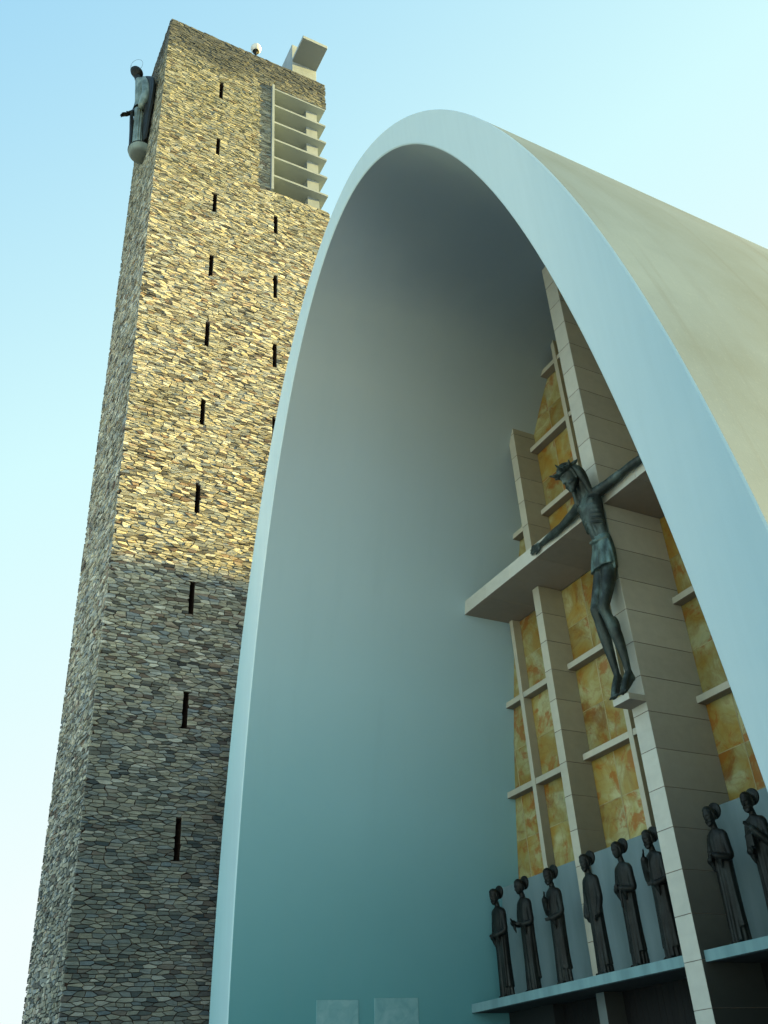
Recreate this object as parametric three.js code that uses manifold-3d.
// Modern church: a tall concrete vault, open to a deep porch with a cross wall, and a stone bell tower beside it.
// Millimetres, +Z up. The origin is on the ground at the middle of the cross's foot, and the porch looks along -Y.
import * as THREE from 'three';
import { mergeVertices } from 'three/addons/utils/BufferGeometryUtils.js';
import Module from 'manifold-3d';

const wasm = await Module();
wasm.setup();

// Clearance kept between pieces that touch
const gap = 0.3;

// Vault: outer and inner outlines |x / halfWidth|^power + ((z - centre) / rise)^2 = 1
const vaultFront = -5990;
const vaultLength = 30000;
const outerCurve = { halfWidth: 7790, rise: 19580, centre: 0, power: 1.86 };
const innerCurve = { halfWidth: 6805, rise: 20090, centre: -1167, power: 1.95 };
const curveSteps = 52;

// Cross: a flat upright from the ground to the crown, with one arm from wall to wall
const crossHalfDepth = 745;
const uprightHalfWidth = 197;
const armBottom = 11830;
const armTop = 12170;

// Porch wall and canopy
const doorHead = 3340;
const canopyTop = 3510;
const canopyFront = -665;
const sillHeight = 5800;
const wallFront = 260;
const wallBack = 800;
const floorThickness = 150;
const sidePierInner = 5070;
const doorPanelDepths = [500, 560];
const doorPanelBottom = 2500;

// Window grid: deep main fins, shallow fins and transoms on a regular grid
const mainFin = { centre: 3335, halfWidth: 117, front: 60 };
const slimFin = { halfWidth: 65, front: 510 };
const slimFinCentres = [1670, 5005];
const transomHalfHeight = 70;
const lowerTransoms = [7800, 9860];
const upperTransoms = [13950, 15850, 17700];
const glassThickness = 40;

// Statues on the canopy, mirrored about the cross
const statueCentres = [755, 1590, 2540, 3710, 4720, 5660];
const statueHeight = 2220;
const statueLine = -410;

// Crucified figure and the block under its feet, in front of the upright
const feetHeight = 7725;
const footBlock = { halfWidth: 220, front: -1150, height: 130 };
const crownThorns = 8;
const figureTolerance = 2;

// Rear wall: the porch wall repeated at the far end
const rearWallSetBack = 700;
const rearFrameThickness = 300;

// Bell tower
const towerEast = -8500;
const towerWest = -12380;
const towerFront = -8610;
const towerBack = -2340;
const towerHeight = 36820;
const towerWall = 500;
const slitWidth = 160;
const slitHeight = 900;
const slitBottoms = [6480, 9420, 12360, 15300, 18240, 21180, 24120, 27060, 30000, 33210];
const slitColumns = [{ y: -6560, count: 10 }, { y: -4390, count: 8 }];
const belfryFloor = 29180;
const belfryHead = 35230;
const belfryWidth = 2260;
const jambProud = 130;
const bladeDepth = 1000;
const bladeThickness = 90;
const bladeSpacing = 1018;
const bladeCount = 6;
const belfrySlabThickness = 200;
const cornerPier = { size: 460, fromEast: 300, fromBack: 220 };
const roofBottom = 35700;
const roofTop = 35950;

// Hoist house on the roof, with a hood that reaches past the tower's face
const hoistWidth = [-10200, -9020];
const hoistDepths = [-3500, -2420];
const hoistTop = 39600;
const hoodReach = [-9120, -7900];
const hoodHeights = [38400, 38570];

// Lamp on the east parapet, a ball on a stem: radius and height of each turn of its outline
const lampOutline = [
  [0, 0],
  [130, 0],
  [130, 50],
  [45, 80],
  [45, 620],
  [130, 680],
  [200, 790],
  [215, 890],
  [170, 1010],
  [85, 1070],
  [0, 1090],
];
const lampFromEast = 250;
const lampLine = -5170;

// Tower statue on a half-round corbel
const corbelRadius = 440;
const corbelTop = 31300;
const corbelLine = -8790;
const towerStatueLine = -9030;

const finishes = {
  concrete: { color: 0xa9c4c8, roughness: 0.75, metalness: 0 },
  plaster: { color: 0xb9bdb4, roughness: 0.85, metalness: 0 },
  limestone: { color: 0xc9c4b0, roughness: 0.8, metalness: 0 },
  rubble: { color: 0x9c8f66, roughness: 0.95, metalness: 0 },
  amber: { color: 0xd9a441, roughness: 0.35, metalness: 0 },
  bronze: { color: 0x39423f, roughness: 0.45, metalness: 0.7 },
  paving: { color: 0x8d8a82, roughness: 0.9, metalness: 0 },
  timber: { color: 0x5a4636, roughness: 0.7, metalness: 0 },
};

const materials = {};
for (const [name, values] of Object.entries(finishes)) {
  materials[name] = new THREE.MeshStandardMaterial(values);
}

const church = new THREE.Group();
const nave = new THREE.Group();
const tower = new THREE.Group();
church.add(nave, tower);

function place(parent, name, geometry, finish) {
  const mesh = new THREE.Mesh(geometry, materials[finish]);
  mesh.name = name;
  parent.add(mesh);
}

// Closed geometry to a solid and back, for joining and cutting
function solidOf(geometry) {
  const bare = geometry.index ? geometry.clone() : geometry;
  bare.deleteAttribute('normal');
  bare.deleteAttribute('uv');
  const merged = mergeVertices(bare, 1e-3);
  return new wasm.Manifold(new wasm.Mesh({
    numProp: 3,
    vertProperties: new Float32Array(merged.attributes.position.array),
    triVerts: new Uint32Array(merged.index.array),
  }));
}

function geometryOf(solid) {
  const mesh = solid.getMesh();
  const geometry = new THREE.BufferGeometry();
  geometry.setAttribute('position', new THREE.BufferAttribute(mesh.vertProperties, 3));
  geometry.setIndex(new THREE.BufferAttribute(mesh.triVerts, 1));
  return geometry;
}

function joined(geometries) {
  return geometryOf(geometries.map(solidOf).reduce((sum, next) => sum.add(next)));
}

// Joined parts of a figure, without the slivers that their crossings leave
function joinedFigure(geometries) {
  return geometryOf(solidOf(joined(geometries)).simplify(figureTolerance));
}

function cut(geometry, holes) {
  return geometryOf(holes.map(solidOf).reduce((rest, hole) => rest.subtract(hole), solidOf(geometry)));
}

function common(first, second) {
  return geometryOf(solidOf(first).intersect(solidOf(second)));
}

function block([x0, x1], [y0, y1], [z0, z1]) {
  const geometry = new THREE.BoxGeometry(x1 - x0, y1 - y0, z1 - z0);
  return geometry.translate((x0 + x1) / 2, (y0 + y1) / 2, (z0 + z1) / 2);
}

// Outline in x and z, drawn out along y
function drawnAlongY(outline, [y0, y1]) {
  const shape = new THREE.Shape(outline.map(([x, z]) => new THREE.Vector2(x, z)));
  const geometry = new THREE.ExtrudeGeometry(shape, { depth: y1 - y0, bevelEnabled: false });
  return geometry.rotateX(Math.PI / 2).translate(0, y1, 0);
}

// Outline in y and z, drawn out along x
function drawnAlongX(outline, [x0, x1]) {
  const shape = new THREE.Shape(outline.map(([y, z]) => new THREE.Vector2(y, z)));
  const geometry = new THREE.ExtrudeGeometry(shape, { depth: x1 - x0, bevelEnabled: false });
  const axes = new THREE.Matrix4().makeBasis(
    new THREE.Vector3(0, 1, 0),
    new THREE.Vector3(0, 0, 1),
    new THREE.Vector3(1, 0, 0),
  );
  return geometry.applyMatrix4(axes).translate(x0, 0, 0);
}

// Points of a vault curve from the right foot over the crown to the left foot
function vaultPoints({ halfWidth, rise, centre, power }, inset = 0) {
  const footAngle = Math.asin(-centre / rise);
  const points = [];
  for (let step = 0; step <= curveSteps; step += 1) {
    const angle = footAngle + (Math.PI - 2 * footAngle) * step / curveSteps;
    const side = Math.sign(Math.cos(angle)) * Math.abs(Math.cos(angle)) ** (2 / power);
    points.push([(halfWidth - inset) * side, centre + (rise - inset) * Math.sin(angle)]);
  }
  return points;
}

// Everything under the vault between two depths, a hair clear of its inner face
const vaultInset = 0.5;

function insideVault([y0, y1]) {
  return drawnAlongY(vaultPoints(innerCurve, vaultInset), [y0, y1]);
}

function trimmedToVault(geometry, depths) {
  return common(geometry, insideVault(depths));
}

// Rings of an ellipse stacked along z: [z, radiusX, radiusY, centreX, centreY]
function stackedRings(rings, sides) {
  const positions = [];
  const indices = [];
  for (const [z, radiusX, radiusY, centreX, centreY] of rings) {
    for (let side = 0; side < sides; side += 1) {
      const angle = 2 * Math.PI * side / sides;
      positions.push(centreX + radiusX * Math.cos(angle), centreY + radiusY * Math.sin(angle), z);
    }
  }
  addSkin(indices, rings.length, sides);
  return indexedGeometry(positions, indices);
}

// A round limb through points [x, y, z, radius]
function limb(points, sides) {
  const centres = points.map(([x, y, z]) => new THREE.Vector3(x, y, z));
  const positions = [];
  const indices = [];
  points.forEach(([, , , radius], index) => {
    const before = centres[Math.max(index - 1, 0)];
    const after = centres[Math.min(index + 1, centres.length - 1)];
    const turn = new THREE.Quaternion().setFromUnitVectors(
      new THREE.Vector3(0, 0, 1),
      after.clone().sub(before).normalize(),
    );
    for (let side = 0; side < sides; side += 1) {
      const angle = 2 * Math.PI * side / sides;
      const offset = new THREE.Vector3(radius * Math.cos(angle), radius * Math.sin(angle), 0);
      const point = offset.applyQuaternion(turn).add(centres[index]);
      positions.push(point.x, point.y, point.z);
    }
  });
  addSkin(indices, points.length, sides);
  return indexedGeometry(positions, indices);
}

// Side faces and end fans for rings that all have the same number of points
function addSkin(indices, rings, sides) {
  for (let ring = 0; ring < rings - 1; ring += 1) {
    for (let side = 0; side < sides; side += 1) {
      const a = ring * sides + side;
      const b = ring * sides + (side + 1) % sides;
      indices.push(a, b, b + sides, a, b + sides, a + sides);
    }
  }
  const last = (rings - 1) * sides;
  for (let side = 1; side < sides - 1; side += 1) {
    indices.push(0, side + 1, side);
    indices.push(last, last + side, last + side + 1);
  }
}

function indexedGeometry(positions, indices) {
  const geometry = new THREE.BufferGeometry();
  geometry.setAttribute('position', new THREE.Float32BufferAttribute(positions, 3));
  geometry.setIndex(indices);
  return geometry;
}

function roundHead(radii, centre) {
  return new THREE.SphereGeometry(1, 8, 6).rotateX(Math.PI / 2).scale(...radii).translate(...centre);
}

// Vault shell with its legs on the ground
const vaultOutline = [...vaultPoints(outerCurve), ...vaultPoints(innerCurve).reverse()];
place(nave, 'nave_vault', drawnAlongY(vaultOutline, [vaultFront, vaultFront + vaultLength]), 'concrete');

const rearWallBack = vaultFront + vaultLength - rearWallSetBack;
const rearWallFront = rearWallBack - (wallBack - wallFront);
const floorDepths = [wallBack + gap, rearWallFront - gap];
const floorBlock = block([-innerCurve.halfWidth, innerCurve.halfWidth], floorDepths, [0, floorThickness]);
place(nave, 'nave_floor', trimmedToVault(floorBlock, floorDepths), 'paving');

// Cross
const aboveCrown = 2 * innerCurve.rise;
const crossDepths = [-crossHalfDepth, crossHalfDepth];
const uprightBlock = block([-uprightHalfWidth, uprightHalfWidth], crossDepths, [0, aboveCrown]);
place(nave, 'cross_upright', trimmedToVault(uprightBlock, crossDepths), 'limestone');

// A left piece is the mirror of a right one, so each is drawn from the span that its side takes
function span(side, inner, outer) {
  return side > 0 ? [inner, outer] : [-outer, -inner];
}

function barWidth({ halfWidth }, centre) {
  return [centre - halfWidth, centre + halfWidth];
}

function transomHeights(centre) {
  return [centre - transomHalfHeight, centre + transomHalfHeight];
}

const sides = [{ name: 'left', sign: -1 }, { name: 'right', sign: 1 }];
const beyondVault = innerCurve.halfWidth;
const armMiddle = (armBottom + armTop) / 2;

// Fins and transoms of one half of the window wall, between two heights
function windowBars(sign, heights, transoms, finCentres) {
  const finBlocks = finCentres.map((centre) => (
    block(span(sign, ...barWidth(slimFin, centre)), [slimFin.front, crossHalfDepth], heights)
  ));
  const transomSpan = span(sign, uprightHalfWidth + gap, beyondVault);
  const transomBlocks = transoms.map((centre) => (
    block(transomSpan, [slimFin.front, crossHalfDepth], transomHeights(centre))
  ));
  const mainSpan = span(sign, ...barWidth(mainFin, mainFin.centre));
  return [...finBlocks, ...transomBlocks, block(mainSpan, [mainFin.front, crossHalfDepth], heights)];
}

for (const { name, sign } of sides) {
  const halfSpan = span(sign, uprightHalfWidth + gap, beyondVault);
  const placeInVault = (piece, geometry, depths, finish) => (
    place(nave, `${piece}_${name}`, trimmedToVault(geometry, depths), finish)
  );

  placeInVault('cross_arm', block(halfSpan, crossDepths, [armBottom, armTop]), crossDepths, 'limestone');

  const canopyDepths = [canopyFront, wallFront - gap];
  placeInVault('canopy', block(halfSpan, canopyDepths, [doorHead, canopyTop]), canopyDepths, 'concrete');

  const wallDepths = [wallFront, wallBack];
  const galleryHeights = [doorHead + gap, sillHeight];
  placeInVault('gallery_wall', block(halfSpan, wallDepths, galleryHeights), wallDepths, 'plaster');

  const pierSpan = span(sign, sidePierInner, beyondVault);
  placeInVault('side_pier', block(pierSpan, wallDepths, [0, doorHead]), wallDepths, 'plaster');

  const postSpan = span(sign, ...barWidth(mainFin, mainFin.centre));
  place(nave, `door_post_${name}`, block(postSpan, [mainFin.front, wallBack], [0, doorHead - gap]), 'limestone');

  // Boarded panels close the top of each doorway
  const postEdges = barWidth(mainFin, mainFin.centre);
  const panelHeights = [doorPanelBottom, doorHead - gap];
  const innerPanel = span(sign, uprightHalfWidth + gap, postEdges[0] - gap);
  const outerPanel = span(sign, postEdges[1] + gap, sidePierInner - gap);
  place(nave, `inner_door_panel_${name}`, block(innerPanel, doorPanelDepths, panelHeights), 'timber');
  place(nave, `outer_door_panel_${name}`, block(outerPanel, doorPanelDepths, panelHeights), 'timber');

  // The main fin's foot runs down to the canopy in front of the gallery wall
  const lowerHeights = [sillHeight + gap, armBottom - gap];
  const finFoot = block(postSpan, [mainFin.front, wallFront - gap], [canopyTop + gap, sillHeight + 2 * gap]);
  const lowerBars = [...windowBars(sign, lowerHeights, lowerTransoms, slimFinCentres), finFoot];
  placeInVault('lower_window_frame', joined(lowerBars), crossDepths, 'limestone');

  // Over the arm the outer slim fin would miss the vault, so only the inner one goes on
  const upperBars = windowBars(sign, [armTop + gap, aboveCrown], upperTransoms, slimFinCentres.slice(0, 1));
  placeInVault('upper_window_frame', joined(upperBars), crossDepths, 'limestone');

  const glassDepths = [crossHalfDepth + gap, crossHalfDepth + gap + glassThickness];
  const glassSpan = span(sign, gap, beyondVault);
  const lowerGlass = block(glassSpan, glassDepths, [sillHeight + gap, armMiddle - gap]);
  const upperGlass = block(glassSpan, glassDepths, [armMiddle, aboveCrown]);
  placeInVault('lower_amber_glass', lowerGlass, glassDepths, 'amber');
  placeInVault('upper_amber_glass', upperGlass, glassDepths, 'amber');
}

// Robed standing statues with folded hands and a disc behind the head, in hundredths of their height
function standingFigure(height, sign) {
  const unit = height / 100;
  const robe = stackedRings([
    [0, 7, 5.8, 0, 0],
    [30, 6.4, 5.3, 0, 0],
    [55, 6.6, 5.4, 0, 0],
    [66, 8, 5.8, 0, 0],
    [74.5, 8.6, 5.4, 0, 0],
    [78, 3.4, 3.4, 0, -0.6],
    [85, 3, 3, 0, -1.6],
  ].map((ring) => ring.map((value) => value * unit)), 10);
  const head = roundHead([3.9 * unit, 5 * unit, 6.5 * unit], [0, -2.2 * unit, 88 * unit]);
  const disc = new THREE.CylinderGeometry(6.6 * unit, 6.6 * unit, 2 * unit, 16);
  disc.translate(0, 3.4 * unit, 93.4 * unit);
  const arms = [-1, 1].map((side) => limb([
    [side * 7.2, 0, 72.5, 2.4],
    [side * 9, -1, 61, 2.7],
    [side * 6.5, -6, 55, 2.4],
    [-side * 0.6, -7.6, 58 + side * sign * 2, 1.9],
  ].map((point) => point.map((value) => value * unit)), 6));
  return joinedFigure([robe, head, disc, ...arms]);
}

let statueNumber = 0;
for (const { sign } of sides) {
  const centres = sign < 0 ? [...statueCentres].reverse() : statueCentres;
  for (const centre of centres) {
    statueNumber += 1;
    const turned = standingFigure(statueHeight, statueNumber % 2 === 0 ? 1 : -1);
    turned.translate(sign * centre, statueLine, canopyTop + gap);
    place(nave, `saint_statue_${String(statueNumber).padStart(2, '0')}`, turned, 'bronze');
  }
}

const uprightFace = -crossHalfDepth - gap;
place(nave, 'foot_block', block(
  [-footBlock.halfWidth, footBlock.halfWidth],
  [footBlock.front, uprightFace],
  [feetHeight - footBlock.height, feetHeight],
), 'limestone');

// Heights and reaches are from the soles of the feet and the middle of the chest
function hangingFigure() {
  const leftLeg = limb([
    [-30, 0, 2720, 135],
    [-80, -130, 2250, 125],
    [-130, -300, 1740, 100],
    [-190, -180, 1190, 92],
    [-166, -70, 500, 58],
    [-160, -130, 200, 62],
    [-150, -240, 75, 55],
  ], 8);
  const rightLeg = limb([
    [210, 0, 2720, 135],
    [170, -130, 2250, 125],
    [110, -300, 1715, 100],
    [160, -150, 1050, 90],
    [150, -50, 474, 58],
    [140, -120, 180, 62],
    [120, -235, 75, 55],
  ], 8);
  const trunk = stackedRings([
    [2350, 215, 150, 90, -20],
    [2900, 235, 155, 110, 0],
    [3200, 190, 130, 130, -20],
    [3480, 200, 140, 115, -50],
    [3900, 270, 165, 80, -80],
    [4200, 280, 150, 50, -40],
    [4340, 215, 120, 30, -30],
  ], 12);
  const neck = limb([[30, -20, 4230, 105], [0, -180, 4440, 90], [-40, -330, 4600, 80]], 8);
  const [headX, headY] = [-50, -400];
  const head = roundHead([170, 200, 290], [headX, headY, 4690]);
  const crown = new THREE.CylinderGeometry(230, 215, 110, 10).rotateX(Math.PI / 2);
  crown.translate(headX, headY, 4830);
  const thorns = Array.from({ length: crownThorns }, (unused, index) => {
    const angle = Math.PI * (2 * index + 1) / crownThorns;
    const [x, y] = [Math.cos(angle), Math.sin(angle)];
    return limb([
      [headX + x * 180, headY + y * 180, 4850, 45],
      [headX + x * 390, headY + y * 390, 5050, 8],
    ], 5);
  });
  const arms = [-1, 1].map((side) => limb([
    [side * 180, 0, 4250, 115],
    [side * 400, 40, 4280, 100],
    [side * 1150, 80, 4265, 78],
    [side * 1950, 110, 4290, 52],
    [side * 2330, 120, 4260, 38],
  ], 8));
  return joinedFigure([leftLeg, rightLeg, trunk, neck, head, crown, ...thorns, ...arms]);
}

// The soles rest on the foot block and the backs of the hands on the arm's face
const hanging = hangingFigure();
hanging.computeBoundingBox();
hanging.translate(
  0,
  uprightFace - hanging.boundingBox.max.y,
  feetHeight + gap - hanging.boundingBox.min.z,
);
place(nave, 'crucified_figure', hanging, 'bronze');

// Rear wall
const fullSpan = [-beyondVault, beyondVault];
const rearDepths = [rearWallFront, rearWallBack];
place(nave, 'rear_wall', trimmedToVault(block(fullSpan, rearDepths, [0, sillHeight]), rearDepths), 'plaster');

const rearHeights = [sillHeight + gap, aboveCrown];
const rearFrameDepths = [rearWallBack - rearFrameThickness, rearWallBack];
const rearMainBars = [-mainFin.centre, 0, mainFin.centre].map((centre) => (
  block(barWidth(mainFin, centre), rearFrameDepths, rearHeights)
));
const rearSlimBars = slimFinCentres.flatMap((centre) => [-centre, centre]).map((centre) => (
  block(barWidth(slimFin, centre), rearFrameDepths, rearHeights)
));
const rearTransoms = [...lowerTransoms, armMiddle, ...upperTransoms].map((centre) => (
  block(fullSpan, rearFrameDepths, transomHeights(centre))
));
const rearBars = joined([...rearMainBars, ...rearSlimBars, ...rearTransoms]);
place(nave, 'rear_window_frame', trimmedToVault(rearBars, rearFrameDepths), 'limestone');

const rearGlassDepths = [rearFrameDepths[0] - gap - glassThickness, rearFrameDepths[0] - gap];
const rearGlass = block(fullSpan, rearGlassDepths, rearHeights);
place(nave, 'rear_amber_glass', trimmedToVault(rearGlass, rearGlassDepths), 'amber');

// Tower walls: the long sides run the full depth, the short ones stand between them
const belfryJamb = towerBack - belfryWidth;
const eastOutline = [
  [towerFront, 0],
  [towerBack, 0],
  [towerBack, belfryFloor],
  [belfryJamb, belfryFloor],
  [belfryJamb, belfryHead],
  [towerBack, belfryHead],
  [towerBack, towerHeight],
  [towerFront, towerHeight],
];
const westOutline = [
  [towerFront, 0],
  [towerBack, 0],
  [towerBack, towerHeight],
  [towerFront, towerHeight],
];

// Slits right through a long side, with a little to spare on both faces
const throughWall = 50;

function slitBlocks([x0, x1]) {
  return slitColumns.flatMap(({ y, count }) => slitBottoms.slice(0, count).map((bottom) => (
    block(
      [x0 - throughWall, x1 + throughWall],
      [y - slitWidth / 2, y + slitWidth / 2],
      [bottom, bottom + slitHeight],
    )
  )));
}

const eastSpan = [towerEast - towerWall, towerEast];
const westSpan = [towerWest, towerWest + towerWall];
const betweenSpan = [westSpan[1] + gap, eastSpan[0] - gap];
place(tower, 'tower_east_wall', cut(drawnAlongX(eastOutline, eastSpan), slitBlocks(eastSpan)), 'rubble');
place(tower, 'tower_west_wall', cut(drawnAlongX(westOutline, westSpan), slitBlocks(westSpan)), 'rubble');
place(tower, 'tower_front_wall', block(betweenSpan, [towerFront, towerFront + towerWall], [0, towerHeight]),
  'rubble');

const backJamb = towerEast - belfryWidth;
const backOutline = [
  [betweenSpan[0], 0],
  [betweenSpan[1], 0],
  [betweenSpan[1], belfryFloor],
  [backJamb, belfryFloor],
  [backJamb, belfryHead],
  [betweenSpan[1], belfryHead],
  [betweenSpan[1], towerHeight],
  [betweenSpan[0], towerHeight],
];
place(tower, 'tower_back_wall', drawnAlongY(backOutline, [towerBack - towerWall, towerBack]), 'rubble');

const shaftDepths = [towerFront + towerWall + gap, towerBack - towerWall - gap];
place(tower, 'belfry_floor', block(betweenSpan, shaftDepths, [belfryFloor - belfrySlabThickness, belfryFloor]),
  'concrete');
place(tower, 'tower_roof', block(betweenSpan, shaftDepths, [roofBottom, roofTop]), 'concrete');

// Belfry screen: corner pier, jambs that stand proud of the walls, and level blades, in one casting
const screenHeights = [belfryFloor + gap, belfryHead - gap];
const eastReach = [towerEast - bladeDepth, towerEast];
const backReach = [towerBack - bladeDepth, towerBack];
const eastJambReach = [eastReach[0], towerEast + jambProud];
const backJambReach = [backReach[0], towerBack + jambProud];
const screenPieces = [
  block(
    [towerEast - cornerPier.fromEast - cornerPier.size, towerEast - cornerPier.fromEast],
    [towerBack - cornerPier.fromBack - cornerPier.size, towerBack - cornerPier.fromBack],
    screenHeights,
  ),
  block(eastJambReach, [belfryJamb + gap, belfryJamb + gap + bladeThickness], screenHeights),
  block([backJamb + gap, backJamb + gap + bladeThickness], backJambReach, screenHeights),
];
for (let blade = 0; blade < bladeCount; blade += 1) {
  const top = screenHeights[1] - blade * bladeSpacing;
  const heights = [top - bladeThickness, top];
  screenPieces.push(block(eastReach, [belfryJamb + gap, towerBack], heights));
  screenPieces.push(block([backJamb + gap, towerEast], backReach, heights));
}
place(tower, 'belfry_screen', joined(screenPieces), 'concrete');

// The hoist house stands on the roof beside the back wall and spreads over that wall's top
place(tower, 'hoist_house', joined([
  block(hoistWidth, [hoistDepths[0], shaftDepths[1]], [roofTop + gap, hoistTop]),
  block(hoistWidth, hoistDepths, [towerHeight + gap, hoistTop]),
  block(hoodReach, hoistDepths, hoodHeights),
]), 'concrete');

const lamp = new THREE.LatheGeometry(lampOutline.map(([radius, z]) => new THREE.Vector2(radius, z)), 12);
lamp.rotateX(Math.PI / 2).translate(towerEast - lampFromEast, lampLine, towerHeight + gap);
place(tower, 'parapet_lamp', lamp, 'concrete');

const statueX = (towerEast + towerWest) / 2;
const corbelBall = new THREE.SphereGeometry(corbelRadius, 20, 14).translate(statueX, corbelLine, corbelTop);
const corbelSpace = block(
  [statueX - corbelRadius, statueX + corbelRadius],
  [corbelLine - corbelRadius, towerFront - gap],
  [corbelTop - corbelRadius, corbelTop],
);
place(tower, 'statue_corbel', common(corbelBall, corbelSpace), 'concrete');

function prayingFigure() {
  const robe = stackedRings([
    [0, 250, 170, 0, 90],
    [400, 270, 190, 0, 60],
    [1600, 275, 200, 0, 0],
    [2700, 300, 215, 0, -60],
    [3500, 310, 215, 0, -110],
    [3850, 260, 190, 0, -150],
    [3980, 130, 130, 0, -190],
    [4120, 120, 120, 0, -230],
  ], 12);
  const mantle = stackedRings([
    [150, 430, 120, 0, 270],
    [1200, 540, 135, 0, 265],
    [2600, 540, 135, 0, 255],
    [3500, 420, 130, 0, 200],
    [3850, 250, 110, 0, 120],
  ], 12);
  const head = roundHead([225, 225, 270], [0, -280, 4360]);
  const hands = limb([
    [0, -60, 2300, 110],
    [0, -300, 1900, 90],
    [0, -515, 1450, 45],
  ], 8);
  return joinedFigure([robe, mantle, head, hands]).translate(statueX, towerStatueLine, corbelTop + gap);
}

place(tower, 'tower_statue', prayingFigure(), 'bronze');

export default church;
